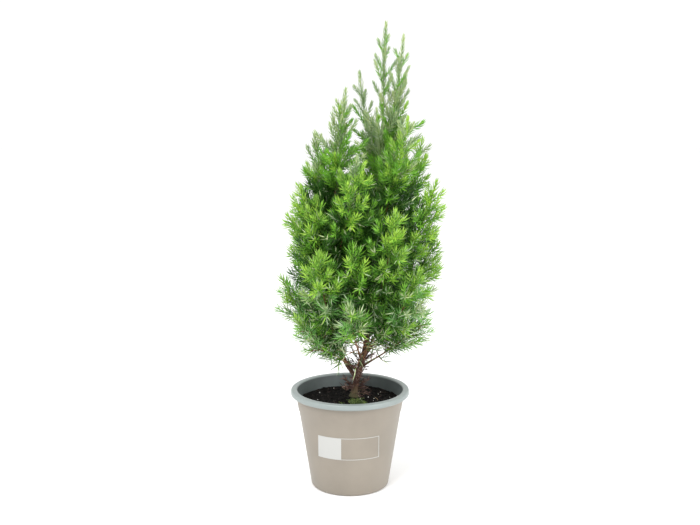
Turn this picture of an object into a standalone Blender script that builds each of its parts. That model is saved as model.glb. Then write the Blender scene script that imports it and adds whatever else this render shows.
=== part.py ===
"""A young Chinese juniper of upright, feathery habit, growing in a round nursery pot.

Every size is in metres. The origin is the middle of the pot's flat underside, +Z is up, and -Y
is the front. The trunk forks just above the soil. Boughs climb the two stems in a spiral, and
each carries one plume of needled shoots.
"""

import math
import random
from collections import namedtuple

import bmesh
import bpy
from mathutils import Vector

CLEAR = 0.0003  # gap that separate solids keep where they meet
CUT_ROOM = CLEAR * 1.15

# Pot: a thin tapered cup with a rolled collar
POT_HEIGHT = 0.075
RIM_RADIUS = 0.045
MOUTH_RADIUS = 0.0402
COLLAR_DEPTH = 0.0042
COLLAR_EDGE = 0.0012
WALL = 0.0010
NECK_RADIUS = 0.0412
BAND_DEPTH = 0.0160
BAND_STEP = 0.0005
FOOT_RADIUS = 0.0300
FOOT_CHAMFER = 0.0012
FLOOR = 0.0018
DRAIN_RING = 0.0203
DRAIN_RADIUS = 0.0032
DRAIN_COUNT = 6
DRILL = ((0, -FLOOR), (DRAIN_RADIUS, -FLOOR), (DRAIN_RADIUS, 2 * FLOOR), (0, 2 * FLOOR))
DRILL_SIDES = 8
POT_SIDES = 36

# Soil: fills the pot to a little under its collar
SOIL_DROP = 0.0080
SOIL_LUMP = 0.0009
STEM_PAD = 0.0065

# Trunk and second stem, as the points that their centre lines run through
FOOT = Vector((0.0030, 0.0030, POT_HEIGHT - SOIL_DROP + CLEAR))
TRUNK_LINE = (FOOT, Vector((0.0055, 0.0035, 0.083)), Vector((0.0130, 0.0040, 0.113)),
              Vector((0.0195, 0.0025, 0.190)), Vector((0.0237, 0.0012, 0.268)))
SECOND_LINE = (Vector((0.0050, 0.0034, 0.0815)), Vector((-0.0050, 0.0045, 0.098)),
               Vector((-0.0125, 0.0040, 0.130)), Vector((-0.0150, 0.0015, 0.190)),
               Vector((-0.0115, -0.0040, 0.244)))
TRUNK_RADIUS = 0.0024
TRUNK_TOP_RADIUS = 0.0008
FLARE_RADIUS = 0.0042
FLARE_HEIGHT = 0.0060
FLARE_STATIONS = (0.0, 0.0015, 0.0035, 0.0065)
SECOND_RADIUS = 0.0016
SECOND_TOP_RADIUS = 0.0008
BOUGH_RADIUS = 0.0011
BOUGH_TOP_RADIUS = 0.0007
TRUNK_SIDES = 9
STEM_SIDES = 7
BOUGH_SIDES = 5

# Crown: where its middle line and its outline run, as (height, value) pairs
CROWN_MIDDLE = (
    (0.080, 0.003), (0.150, 0.006), (0.200, 0.009), (0.250, 0.013), (0.300, 0.021), (0.347, 0.026),
)
CROWN_RADIUS = (
    (0.085, 0.024), (0.100, 0.036), (0.118, 0.054), (0.135, 0.060), (0.165, 0.064), (0.195, 0.065),
    (0.225, 0.060), (0.250, 0.057), (0.280, 0.046), (0.310, 0.024), (0.347, 0.004),
)

# Outer plumes climb the crown in a spiral. Rows: share of the way up, height of the tip, height of
# the foot on its stem, degrees above the horizon on leaving and at the tip, bare share, length of
# its shoots, length of their needles and degrees that these spread
OUTER_COUNT = 24
DIRECT_HEIGHT = 0.165  # plumes whose foot is higher grow straight from the stem, with no bough
FIRST_TURN = math.radians(77.5)
SPIRAL = math.radians(137.5)
OUTER_RULE = (
    (0.00, 0.128, 0.0860, 32, 50, 0.17, 0.025, 0.0120, 50),
    (0.15, 0.145, 0.0935, 33, 56, 0.20, 0.027, 0.0120, 48),
    (0.40, 0.190, 0.1090, 38, 72, 0.22, 0.027, 0.0115, 43),
    (0.70, 0.246, 0.1480, 52, 76, 0.20, 0.025, 0.0105, 38),
    (1.00, 0.306, 0.2200, 60, 70, 0.20, 0.020, 0.0085, 30),
)
LONE_TIP = 0.012  # length of a plume's tip that bears no side shoot
LONE_LEADER = 0.018
PLUME_RISE = (60, 86)  # degrees above the horizon on leaving the stem and at the tip
LEADER_RISE = (76, 84)

Limb = namedtuple("Limb", "name line stem bare lone shoot needle spread")
# Plumes inside the crown and at its top, each told by its own tip. A height of None is its stem's end.
Plume = namedtuple("Plume", "name stem base_z tip shoot needle spread")
PLUMES = (
    Plume("inner_1", "trunk", 0.1500, Vector((0.0120, -0.0310, 0.2300)), 0.024, 0.0105, 40),
    Plume("inner_2", "trunk", 0.1520, Vector((0.0080, 0.0340, 0.2380)), 0.024, 0.0105, 40),
    Plume("inner_3", "trunk", 0.1740, Vector((0.0285, 0.0230, 0.2400)), 0.024, 0.0105, 40),
    Plume("inner_4", "second_stem", 0.1285, Vector((-0.0240, -0.0290, 0.2230)), 0.024, 0.0105, 40),
    Plume("inner_5", "second_stem", 0.1530, Vector((-0.0210, 0.0260, 0.2280)), 0.024, 0.0105, 40),
    Plume("inner_6", "trunk", 0.0960, Vector((0.0255, -0.0270, 0.1460)), 0.024, 0.0115, 44),
    Plume("inner_7", "trunk", 0.1070, Vector((0.0020, 0.0330, 0.1700)), 0.024, 0.0115, 44),
    Plume("inner_8", "trunk", 0.1160, Vector((0.0020, -0.0460, 0.1920)), 0.024, 0.0115, 44),
    Plume("leader_main", "trunk", None, Vector((0.0260, 0.0000, 0.3470)), 0.019, 0.0075, 27),
    Plume("leader_right", "trunk", 0.2360, Vector((0.0385, -0.0040, 0.3370)), 0.019, 0.0075, 27),
    Plume("leader_left", "second_stem", None, Vector((-0.0030, -0.0120, 0.3000)), 0.019, 0.0075, 27),
    Plume("leader_back", "trunk", 0.2290, Vector((0.0070, 0.0120, 0.3120)), 0.019, 0.0075, 27),
)

SHOOT_GAP = 0.0196
SHOOT_RADIUS = 0.0010
LAST_NEEDLES = 0.0030  # how far the last needles reach past a shoot's wood
SHOOT_LEAST = 0.004  # length of a side shoot at its plume's very tip, and its growth per length below
SHOOT_GROWTH = 0.55
SHOOT_ANGLE = 34
LEADER_GROWTH = 0.36  # on a leader the side shoots are shorter and stand nearer to it
LEADER_ANGLE = 31
SPRAY_RINGS = ((0.0, 0.6), (0.25, 1.0), (0.50, 0.95), (0.76, 0.7))
NEEDLE_ROOM = 0.0004
STEM_RADIUS = 0.0009

BARK = (0.23, 0.12, 0.07)
GREEN = (0.10, 0.27, 0.05)
TAUPE = (0.42, 0.35, 0.29)
PEAT = (0.03, 0.022, 0.018)


def clear_scene():
    for obj in list(bpy.data.objects):
        bpy.data.objects.remove(obj, do_unlink=True)


def material(name, colour, roughness):
    made = bpy.data.materials.new(name)
    made.use_nodes = True
    shader = made.node_tree.nodes["Principled BSDF"]
    shader.inputs["Base Color"].default_value = (*colour, 1.0)
    shader.inputs["Roughness"].default_value = roughness
    shader.inputs["Metallic"].default_value = 0.0
    made.diffuse_color = (*colour, 1.0)
    return made


def interpolate(table, place, column=1):
    """A column's value at a place, read from rows that each begin with their place."""
    if place <= table[0][0]:
        return table[0][column]
    for low, high in zip(table, table[1:]):
        if place <= high[0]:
            return low[column] + (high[column] - low[column]) * (place - low[0]) / (high[0] - low[0])
    return table[-1][column]


class Line:
    """A smooth centre line, as points at even spacing, read by distance along it."""

    def __init__(self, points, step=0.002):
        lengths = [0.0]
        for a, b in zip(points, points[1:]):
            lengths.append(lengths[-1] + (b - a).length)
        count = max(4, round(lengths[-1] / step))
        self.length = lengths[-1]
        self.points = []
        k = 0
        for i in range(count + 1):
            s = self.length * i / count
            while k < len(lengths) - 2 and lengths[k + 1] < s:
                k += 1
            share = (s - lengths[k]) / (lengths[k + 1] - lengths[k])
            self.points.append(points[k].lerp(points[k + 1], min(1.0, share)))

    def at(self, s):
        place = max(0.0, min(1.0, s / self.length)) * (len(self.points) - 1)
        i = min(int(place), len(self.points) - 2)
        return self.points[i].lerp(self.points[i + 1], place - i)

    def direction(self, s):
        reach = self.length / (len(self.points) - 1)
        a, b = max(0.0, s - reach), min(self.length, s + reach)
        return (self.at(b) - self.at(a)).normalized()

    def at_height(self, z):
        """Distance along the line where it reaches a height."""
        low, high = 0.0, self.length
        for _ in range(30):
            mid = (low + high) / 2
            low, high = (mid, high) if self.at(mid).z < z else (low, mid)
        return low


def smooth_line(stops):
    """A Catmull-Rom curve through the stops."""
    padded = [stops[0] * 2 - stops[1], *stops, stops[-1] * 2 - stops[-2]]
    points = []
    for p0, p1, p2, p3 in zip(padded, padded[1:], padded[2:], padded[3:]):
        for i in range(12):
            t = i / 12
            points.append(0.5 * (2 * p1 + (p2 - p0) * t + (2 * p0 - 5 * p1 + 4 * p2 - p3) * t * t
                                 + (3 * p1 - p0 - 3 * p2 + p3) * t * t * t))
    return Line([*points, stops[-1].copy()])


def arched_line(start, leave, arrive, tip):
    """A limb that leaves start along one direction and reaches its tip along another."""
    span = (tip - start).length
    p1, p2 = start + leave * span * 0.38, tip - arrive * span * 0.38
    points = []
    for i in range(25):
        t = i / 24
        u = 1 - t
        points.append(start * u ** 3 + p1 * 3 * u * u * t + p2 * 3 * u * t * t + tip * t ** 3)
    return Line(points)


def tilted(azimuth, elevation):
    """The unit direction at an azimuth in radians and an elevation in degrees."""
    rise = math.radians(elevation)
    return Vector((math.cos(azimuth) * math.cos(rise), math.sin(azimuth) * math.cos(rise), math.sin(rise)))


def square_to(direction):
    """Two unit vectors square to a direction and to each other."""
    side = direction.orthogonal().normalized()
    return side, direction.cross(side).normalized()


def mesh_object(name, vertices, faces, collection):
    mesh = bpy.data.meshes.new(name)
    mesh.from_pydata([tuple(v) for v in vertices], [], faces)
    mesh.update()
    obj = bpy.data.objects.new(name, mesh)
    collection.objects.link(obj)
    return obj


def ring_faces(rings, sides):
    """Quads between successive rings of vertices."""
    faces = []
    for r in range(rings - 1):
        for k in range(sides):
            n = (k + 1) % sides
            faces.append((r * sides + k, r * sides + n, (r + 1) * sides + n, (r + 1) * sides + k))
    return faces


def tube(name, line, stations, radius_at, sides, collection, level_foot=False):
    """A closed tapering limb along a line. Its first ring is level where it stands on the soil."""
    vertices = []
    side = square_to(line.direction(0.0))[0]
    for n, s in enumerate(stations):
        along = line.direction(s)
        side = (side - along * side.dot(along)).normalized()
        up = Vector((0, 0, 1)) if level_foot and n == 0 else along
        first = (side - up * side.dot(up)).normalized()
        second = up.cross(first)
        for k in range(sides):
            turn = 2 * math.pi * k / sides
            vertices.append(line.at(s) + (first * math.cos(turn) + second * math.sin(turn)) * radius_at(s))
    faces = ring_faces(len(stations), sides)
    faces.append(tuple(reversed(range(sides))))
    faces.append(tuple(range((len(stations) - 1) * sides, len(stations) * sides)))
    return mesh_object(name, vertices, faces, collection)


def revolved(name, profile, sides, collection):
    """A closed body turned round +Z from a profile of (radius, height), with a point at each end."""
    (_, z0), *rings, (_, z1) = profile
    vertices = [Vector((0, 0, z0))]
    for radius, z in rings:
        for k in range(sides):
            turn = 2 * math.pi * k / sides
            vertices.append(Vector((radius * math.cos(turn), radius * math.sin(turn), z)))
    vertices.append(Vector((0, 0, z1)))
    faces = [tuple(i + 1 for i in face) for face in ring_faces(len(rings), sides)]
    last, top = 1 + (len(rings) - 1) * sides, len(vertices) - 1
    for k in range(sides):
        n = (k + 1) % sides
        faces.append((0, 1 + n, 1 + k))
        faces.append((top, last + k, last + n))
    obj = mesh_object(name, vertices, faces, collection)
    face_outwards(obj)
    return obj


def face_outwards(obj):
    shape = bmesh.new()
    shape.from_mesh(obj.data)
    bmesh.ops.recalc_face_normals(shape, faces=shape.faces)
    shape.to_mesh(obj.data)
    shape.free()


def apply_modifiers(obj):
    graph = bpy.context.evaluated_depsgraph_get()
    made = bpy.data.meshes.new_from_object(obj.evaluated_get(graph))
    obj.modifiers.clear()
    obj.data = made


def cut(obj, cutter):
    """Cuts one solid out of another and removes the cutter."""
    boolean = obj.modifiers.new("cut", "BOOLEAN")
    boolean.operation = "DIFFERENCE"
    boolean.object = cutter
    apply_modifiers(obj)
    bpy.data.objects.remove(cutter, do_unlink=True)


def keep_largest(obj):
    """Leaves only the largest closed shell, so a sealed hollow is filled and a loose scrap dropped."""
    shape = bmesh.new()
    shape.from_mesh(obj.data)
    left, shells = set(shape.faces), []
    while left:
        stack, shell = [left.pop()], []
        while stack:
            face = stack.pop()
            shell.append(face)
            for edge in face.edges:
                for other in edge.link_faces:
                    if other in left:
                        left.remove(other)
                        stack.append(other)
        shells.append(shell)
    shells.sort(key=len)
    extra = [face for shell in shells[:-1] for face in shell]
    bmesh.ops.delete(shape, geom=extra, context="FACES")
    shape.to_mesh(obj.data)
    shape.free()


def wall_radius(z):
    """Outer radius of the pot's wall at a height, under its collar."""
    straight = FOOT_RADIUS + (NECK_RADIUS - FOOT_RADIUS) * z / (POT_HEIGHT - COLLAR_DEPTH)
    return straight if z > POT_HEIGHT - BAND_DEPTH else straight - BAND_STEP


def inner_profile():
    """The inside of the pot's wall as (height, radius) pairs, from its floor to its mouth."""
    band = POT_HEIGHT - BAND_DEPTH
    return ((FLOOR, wall_radius(FLOOR) - WALL), (band, wall_radius(band) - WALL),
            (POT_HEIGHT - COLLAR_EDGE / 2, MOUTH_RADIUS))


def make_pot(collection):
    collar = POT_HEIGHT - COLLAR_DEPTH
    band = POT_HEIGHT - BAND_DEPTH
    inside = [(radius, z) for z, radius in reversed(inner_profile())]
    profile = (
        (0, 0), (wall_radius(0) - FOOT_CHAMFER, 0), (wall_radius(FOOT_CHAMFER), FOOT_CHAMFER),
        (wall_radius(band), band - BAND_STEP), (wall_radius(band) + BAND_STEP, band + BAND_STEP),
        (NECK_RADIUS, collar), (RIM_RADIUS - COLLAR_EDGE / 2, collar), (RIM_RADIUS, collar + COLLAR_EDGE),
        (RIM_RADIUS, POT_HEIGHT - COLLAR_EDGE), (RIM_RADIUS - COLLAR_EDGE, POT_HEIGHT),
        (MOUTH_RADIUS + COLLAR_EDGE / 2, POT_HEIGHT), *inside, (0, FLOOR),
    )
    pot = revolved("pot", profile, POT_SIDES, collection)
    for k in range(DRAIN_COUNT):
        turn = 2 * math.pi * (k + 0.29) / DRAIN_COUNT
        drill = revolved("drill", DRILL, DRILL_SIDES, collection)
        drill.location = (DRAIN_RING * math.cos(turn), DRAIN_RING * math.sin(turn), 0)
        bpy.context.view_layer.update()
        cut(pot, drill)
    return pot


def make_soil(collection):
    """The soil, level under the stem and a little lumpy round it, clear of the pot's wall and floor."""
    top = POT_HEIGHT - SOIL_DROP
    low = FLOOR + CLEAR
    heights = (low, POT_HEIGHT - BAND_DEPTH, top - 0.0015)
    walls = [(interpolate(inner_profile(), z) - CLEAR, z) for z in heights]
    edge = walls[-1][0]
    rings = ((edge * 0.96, top), (edge * 0.70, top), (edge * 0.42, top), (STEM_PAD, top))
    soil = revolved("soil", ((0, low), *walls, *rings, (0, top)), POT_SIDES, collection)
    rng = random.Random(11)
    for vertex in soil.data.vertices:
        x, y, z = vertex.co
        if z > top - 0.0001 and math.hypot(x, y) > STEM_PAD * 1.5:
            vertex.co.z += rng.uniform(-1, 0.6) * SOIL_LUMP
    return soil


def taper(line, start, end):
    return lambda s: start + (end - start) * s / line.length


def trunk_radius(line):
    """Root flare at the foot, then an even taper."""
    plain = taper(line, TRUNK_RADIUS, TRUNK_TOP_RADIUS)
    return lambda s: plain(s) + (FLARE_RADIUS - TRUNK_RADIUS) * max(0.0, 1 - s / FLARE_HEIGHT) ** 2


def evenly(length, count, start=0.0):
    return [start + (length - start) * i / count for i in range(count + 1)]


def plan_limbs(stems):
    """Each plume's limb, from the middle of the stem that bears it to its tip."""
    rng = random.Random(40)
    limbs = []
    for k in range(OUTER_COUNT):
        up = k / (OUTER_COUNT - 1)
        turn = FIRST_TURN + SPIRAL * k + rng.uniform(-0.1, 0.1)
        columns = (interpolate(OUTER_RULE, up, column) for column in range(1, 9))
        tip_z, foot_z, leave, arrive, bare, shoot, needle, spread = columns
        bare = bare if foot_z < DIRECT_HEIGHT else 0.0
        tip_z += rng.uniform(-0.004, 0.004)
        reach = interpolate(CROWN_RADIUS, tip_z) * rng.uniform(0.94, 1.0) - 0.005
        middle = interpolate(CROWN_MIDDLE, tip_z)
        tip = Vector((middle + reach * math.cos(turn), reach * math.sin(turn), tip_z))
        stem = "second_stem" if math.cos(turn) < -0.15 and foot_z > 0.092 else "trunk"
        start = stems[stem].at(stems[stem].at_height(foot_z))
        out = math.atan2(tip.y - start.y, tip.x - start.x)
        line = arched_line(start, tilted(out, leave), tilted(out, arrive), tip)
        limbs.append(Limb(f"plume_{k + 1:02d}", line, stem, bare, LONE_TIP, shoot, needle, spread))
    for plume in PLUMES:
        stem = stems[plume.stem]
        foot = stem.length if plume.base_z is None else stem.at_height(plume.base_z)
        start = stem.at(foot)
        out = math.atan2(plume.tip.y - start.y, plume.tip.x - start.x)
        leader = plume.name.startswith("leader")
        leave, arrive = LEADER_RISE if leader else PLUME_RISE
        along = stem.direction(foot) if plume.base_z is None else tilted(out, leave)
        line = arched_line(start, along, tilted(out, arrive), plume.tip)
        stem_name = None if plume.base_z is None else plume.stem
        lone = LONE_LEADER if leader else LONE_TIP
        limbs.append(Limb(plume.name, line, stem_name, 0.0, lone, plume.shoot, plume.needle, plume.spread))
    return limbs


class Space:
    """Which plume a point in the crown belongs to: the one whose centre line is nearest."""

    def __init__(self, limbs, wood):
        self.lines = {limb.name: limb.line.points[::2] for limb in limbs}
        self.wood = wood

    def holds(self, owner, point, room):
        mine = min((point - q).length for q in self.lines[owner])
        if any((point - q).length < radius + room for q, radius in self.wood[owner]):
            return False
        for name, points in self.lines.items():
            if name == owner:
                continue
            for q in points:
                if (point - q).length < mine + 2 * room:
                    return False
        return True


def spray(limb, root, tip, rng, space, collection):
    """A closed slim core in three-sided rings, each turned half a side from the last.

    A needle stands out of every other face, drawn to a point, if it stays in its plume's space.
    """
    along = (tip - root).normalized()
    first, second = square_to(along)
    spin = rng.uniform(0, 2 * math.pi)
    vertices, faces = [], [(2, 1, 0)]
    for ring, (share, size) in enumerate(SPRAY_RINGS):
        for k in range(3):
            turn = spin + 2 * math.pi * k / 3 + ring * math.pi / 3
            side = first * math.cos(turn) + second * math.sin(turn)
            vertices.append(root.lerp(tip, share) + side * SHOOT_RADIUS * size)
    reach = min(limb.needle, (tip - root).length * 0.5)
    for ring in range(len(SPRAY_RINGS) - 1):
        for k in range(3):
            a, b = 3 * ring + k, 3 * ring + (k + 1) % 3
            c, d = a + 3, b + 3
            faces.append((b, d, c))
            turn = spin + 2 * math.pi * (k + 0.5) / 3 + ring * math.pi / 3
            side = first * math.cos(turn) + second * math.sin(turn)
            angle = math.radians(limb.spread + rng.uniform(-6, 6))
            middle = (vertices[a] + vertices[b] + vertices[c]) / 3
            aim = along * math.cos(angle) + side * math.sin(angle)
            point = middle + aim * reach * rng.uniform(0.85, 1.0)
            if all(space.holds(limb.name, middle.lerp(point, q), NEEDLE_ROOM) for q in (0.5, 0.75, 1.0)):
                n = len(vertices)
                vertices.append(point)
                faces += [(a, b, n), (b, c, n), (c, a, n)]
            else:
                faces.append((a, b, c))
    last, n = 3 * (len(SPRAY_RINGS) - 1), len(vertices)
    vertices.append(tip)
    faces += [(last + k, last + (k + 1) % 3, n) for k in range(3)]
    obj = mesh_object("spray", vertices, faces, collection)
    face_outwards(obj)
    return obj


def grow_plume(limb, start, space, seed, collection, paint):
    """One plume: a stem from the bough's tip or the trunk, with shoots up it in a spiral."""
    rng = random.Random(seed)
    name, line = limb.name, limb.line
    parts = bpy.data.collections.new(name + "_parts")
    bpy.context.scene.collection.children.link(parts)
    visible = line.length - start
    leader = name.startswith("leader")
    growth, lean = (LEADER_GROWTH, LEADER_ANGLE) if leader else (SHOOT_GROWTH, SHOOT_ANGLE)

    def radius_at(s):
        return STEM_RADIUS * (1 - 0.55 * (s - start) / visible)

    stem = tube(name, line, evenly(line.length - 0.004, 5, start), radius_at, 3, collection)
    top = line.at(line.length) + line.direction(line.length) * LAST_NEEDLES
    spray(limb, line.at(line.length - 0.014), top, rng, space, parts)
    turn = rng.uniform(0, 2 * math.pi)
    count = max(4, round(visible / SHOOT_GAP))
    first_s = start + visible * 0.10
    for k in range(count):
        s = first_s + (line.length - limb.lone - first_s) * k / (count - 1)
        share = (s - start) / visible
        along = line.direction(s)
        first, second = square_to(along)
        turn += SPIRAL
        side = first * math.cos(turn) + second * math.sin(turn)
        angle = math.radians(lean + rng.uniform(-5, 5))
        full = min(limb.shoot * min(1.0, 0.65 + share), SHOOT_LEAST + growth * (line.length - s))
        aim = (along * math.cos(angle) + side * math.sin(angle) + Vector((0, 0, 0.12))).normalized()
        root = line.at(s)
        for shrink in (1.0, 0.8, 0.62, 0.48):
            tip = root + aim * (full * shrink + LAST_NEEDLES)
            if all(space.holds(name, root.lerp(tip, q), SHOOT_RADIUS) for q in (0.4, 0.7, 1.0)):
                spray(limb, root, tip, rng, space, parts)
                break
    union = stem.modifiers.new("fuse", "BOOLEAN")
    union.operation = "UNION"
    union.operand_type = "COLLECTION"
    union.collection = parts
    apply_modifiers(stem)
    for obj in list(parts.objects):
        bpy.data.objects.remove(obj, do_unlink=True)
    bpy.data.collections.remove(parts)
    keep_largest(stem)
    stem.data.materials.clear()
    stem.data.materials.append(paint)
    return stem


def make_wood(collection, bark):
    """The trunk from its flat cut on the soil to its tip, and the second stem from the fork."""
    lines = {"trunk": smooth_line(TRUNK_LINE), "second_stem": smooth_line(SECOND_LINE)}
    trunk, second = lines["trunk"], lines["second_stem"]
    radii = {
        "trunk": trunk_radius(trunk),
        "second_stem": taper(second, SECOND_RADIUS, SECOND_TOP_RADIUS),
    }
    solids = {name: stem_tube(name, name, lines, radii, 0.0, collection) for name in lines}
    cut(solids["second_stem"], stem_tube("swollen", "trunk", lines, radii, CUT_ROOM, collection))
    keep_largest(solids["second_stem"])
    for solid in solids.values():
        solid.data.materials.append(bark)
    return lines, radii


def stem_tube(name, stem, lines, radii, extra, collection):
    """A stem's solid, thicker by an extra radius."""
    line = lines[stem]
    is_trunk = stem == "trunk"
    stations = evenly(line.length, 9)
    sides = STEM_SIDES
    if is_trunk:
        stations = [*FLARE_STATIONS, *evenly(line.length, 12, 0.014)]
        sides = TRUNK_SIDES

    def radius_at(s):
        return radii[stem](s) + extra

    return tube(name, line, stations, radius_at, sides, collection, level_foot=is_trunk)


def cut_clear(obj, lines, radii, collection):
    """Cuts both stems out of a solid, with the clear gap round them."""
    for stem in lines:
        cut(obj, stem_tube("swollen", stem, lines, radii, CUT_ROOM, collection))
    keep_largest(obj)


def make_bough(limb, end, lines, radii, collection, bark):
    """A short limb from a stem's side to the foot of its plume."""
    line = limb.line

    def radius_at(s):
        return BOUGH_RADIUS + (BOUGH_TOP_RADIUS - BOUGH_RADIUS) * s / end

    name = limb.name.replace("plume", "bough")
    bough = tube(name, line, evenly(end - CLEAR, 4), radius_at, BOUGH_SIDES, collection)
    cut_clear(bough, lines, radii, collection)
    bough.data.materials.append(bark)


def wood_points(limbs, lines, radii):
    """For each plume, the points and radii of all the wood that it has to keep clear of."""
    stems = [(line.at(s), radii[name](s)) for name, line in lines.items()
             for s in evenly(line.length, round(line.length / 0.0015))]
    boughs = {limb.name: [(limb.line.at(s), BOUGH_RADIUS) for s in evenly(limb.bare * limb.line.length, 14)]
              for limb in limbs if limb.bare}
    found = {}
    for limb in limbs:
        others = [pair for other, pairs in boughs.items() if other != limb.name for pair in pairs]
        found[limb.name] = stems + others
    return found


def main():
    clear_scene()
    collection = bpy.context.scene.collection
    bark = material("bark", BARK, 0.85)
    needles = material("needles", GREEN, 0.55)
    pot = make_pot(collection)
    pot.data.materials.append(material("pot_plastic", TAUPE, 0.45))
    soil = make_soil(collection)
    soil.data.materials.append(material("peat", PEAT, 0.95))
    lines, radii = make_wood(collection, bark)
    limbs = plan_limbs(lines)
    space = Space(limbs, wood_points(limbs, lines, radii))
    for seed, limb in enumerate(limbs):
        start = limb.bare * limb.line.length
        if limb.bare:
            make_bough(limb, start, lines, radii, collection, bark)
        elif limb.stem is None:
            start = CLEAR
        plume = grow_plume(limb, start, space, 100 + seed, collection, needles)
        if not limb.bare and limb.stem:
            cut_clear(plume, lines, radii, collection)


main()
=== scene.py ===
"""Looks of a young Chinese juniper in a nursery pot: fine twigs and needles, bark, soil and pot.

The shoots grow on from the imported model's limbs by the same rule, carried to finer twigs. Metres,
+Z up, the origin is the middle of the pot's flat underside and -Y is the front.
"""
import random
from collections import namedtuple
from math import asin, atan2, cos, hypot, pi, radians, sin, sqrt

import bpy
import numpy as np
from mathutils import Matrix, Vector, kdtree, noise


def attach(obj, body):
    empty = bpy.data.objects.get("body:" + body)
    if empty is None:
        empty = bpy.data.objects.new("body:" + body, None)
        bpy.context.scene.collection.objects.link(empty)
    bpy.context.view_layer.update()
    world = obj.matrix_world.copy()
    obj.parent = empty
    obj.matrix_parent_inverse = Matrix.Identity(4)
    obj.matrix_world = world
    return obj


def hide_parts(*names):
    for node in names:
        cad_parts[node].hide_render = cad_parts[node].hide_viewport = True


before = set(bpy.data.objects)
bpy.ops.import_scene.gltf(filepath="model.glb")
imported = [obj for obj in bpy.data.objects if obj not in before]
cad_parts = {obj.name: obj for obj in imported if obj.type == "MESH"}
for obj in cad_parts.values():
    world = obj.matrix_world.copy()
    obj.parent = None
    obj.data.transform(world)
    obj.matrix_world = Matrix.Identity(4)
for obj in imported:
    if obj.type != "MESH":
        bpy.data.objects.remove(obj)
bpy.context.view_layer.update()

# The model's own sizes, repeated here
CLEAR = 0.0003
POT_HEIGHT = 0.075
RIM_RADIUS = 0.045
MOUTH_RADIUS = 0.0402
COLLAR_DEPTH = 0.0042
COLLAR_EDGE = 0.0012
WALL = 0.001
NECK_RADIUS = 0.0412
BAND_DEPTH = 0.016
BAND_STEP = 0.0005
FOOT_RADIUS = 0.03
FOOT_CHAMFER = 0.0012
FLOOR = 0.0018
DRAIN_RING = 0.0203
DRAIN_RADIUS = 0.0032
DRAIN_COUNT = 6
SOIL_TOP = 0.067

FOOT = Vector((0.003, 0.003, SOIL_TOP + CLEAR))
TRUNK_LINE = (FOOT, Vector((0.0055, 0.0035, 0.083)), Vector((0.013, 0.004, 0.113)),
              Vector((0.0195, 0.0025, 0.19)), Vector((0.0237, 0.0012, 0.268)))
SECOND_LINE = (Vector((0.005, 0.0034, 0.0815)), Vector((-0.005, 0.0045, 0.098)),
               Vector((-0.0125, 0.004, 0.13)), Vector((-0.015, 0.0015, 0.19)),
               Vector((-0.0115, -0.004, 0.244)))
# Radii at foot and tip
TRUNK_RADII = (0.0024, 0.0008)
SECOND_RADII = (0.0016, 0.0008)
BOUGH_RADII = (0.0011, 0.0007)
FLARE_RADIUS = 0.0042
FLARE_HEIGHT = 0.006

# The crown's outline, by height: x of its middle, and its radius
CROWN_MIDDLE = (
    (0.08, 0.003), (0.15, 0.006), (0.2, 0.009), (0.25, 0.013), (0.3, 0.021), (0.347, 0.026),
)
CROWN_RADIUS = (
    (0.085, 0.024), (0.1, 0.036), (0.118, 0.054), (0.135, 0.06), (0.165, 0.064), (0.195, 0.065),
    (0.225, 0.06), (0.25, 0.057), (0.28, 0.046), (0.31, 0.024), (0.347, 0.004),
)

# Outer plumes climb the crown in a spiral. Rows: share of the way up, heights of tip and foot,
# degrees above the horizon on leaving and at the tip, bare share, length of the side shoots
OUTER_COUNT = 24
DIRECT_HEIGHT = 0.165  # plumes that start higher have no bough
FIRST_TURN = radians(77.5)
SPIRAL = radians(137.5)
OUTER_RULE = (
    (0.0, 0.128, 0.086, 32, 50, 0.17, 0.025),
    (0.15, 0.145, 0.0935, 33, 56, 0.2, 0.027),
    (0.4, 0.19, 0.109, 38, 72, 0.22, 0.027),
    (0.7, 0.246, 0.148, 52, 76, 0.2, 0.025),
    (1.0, 0.306, 0.22, 60, 70, 0.2, 0.02),
)
TIP_INSET = 0.005  # how far the plumes' tips stay inside the outline
SECOND_SIDE = -0.15  # plumes further left than this and higher than the next grow from the second stem
SECOND_LOWEST = 0.092
LONE_TIP = 0.012  # length of the tip that bears no side shoots
LONE_LEADER = 0.018
PLUME_RISE = (60, 86)  # degrees above the horizon on leaving the stem and at the tip
LEADER_RISE = (76, 84)

INNER_SHOOT = 0.024
LEADER_SHOOT = 0.019
# Inner plumes and leaders: stem, height of the foot or None for the stem's own end, tip
PLUMES = {
    "inner_1": ("trunk", 0.15, (0.012, -0.031, 0.23)),
    "inner_2": ("trunk", 0.152, (0.008, 0.034, 0.238)),
    "inner_3": ("trunk", 0.174, (0.0285, 0.023, 0.24)),
    "inner_4": ("second_stem", 0.1285, (-0.024, -0.029, 0.223)),
    "inner_5": ("second_stem", 0.153, (-0.021, 0.026, 0.228)),
    "inner_6": ("trunk", 0.096, (0.0255, -0.027, 0.146)),
    "inner_7": ("trunk", 0.107, (0.002, 0.033, 0.17)),
    "inner_8": ("trunk", 0.116, (0.002, -0.046, 0.192)),
    "leader_main": ("trunk", None, (0.026, 0.0, 0.347)),
    "leader_right": ("trunk", 0.236, (0.0385, -0.004, 0.337)),
    "leader_left": ("second_stem", None, (-0.003, -0.012, 0.3)),
    "leader_back": ("trunk", 0.229, (0.007, 0.012, 0.312)),
}
SHOOT_LEAST = 0.004  # length of a side shoot at its plume's tip, and its growth per length below
SHOOT_GROWTH = 0.55
SHOOT_ANGLE = 34
LEADER_GROWTH = 0.36
LEADER_ANGLE = 31

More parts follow.
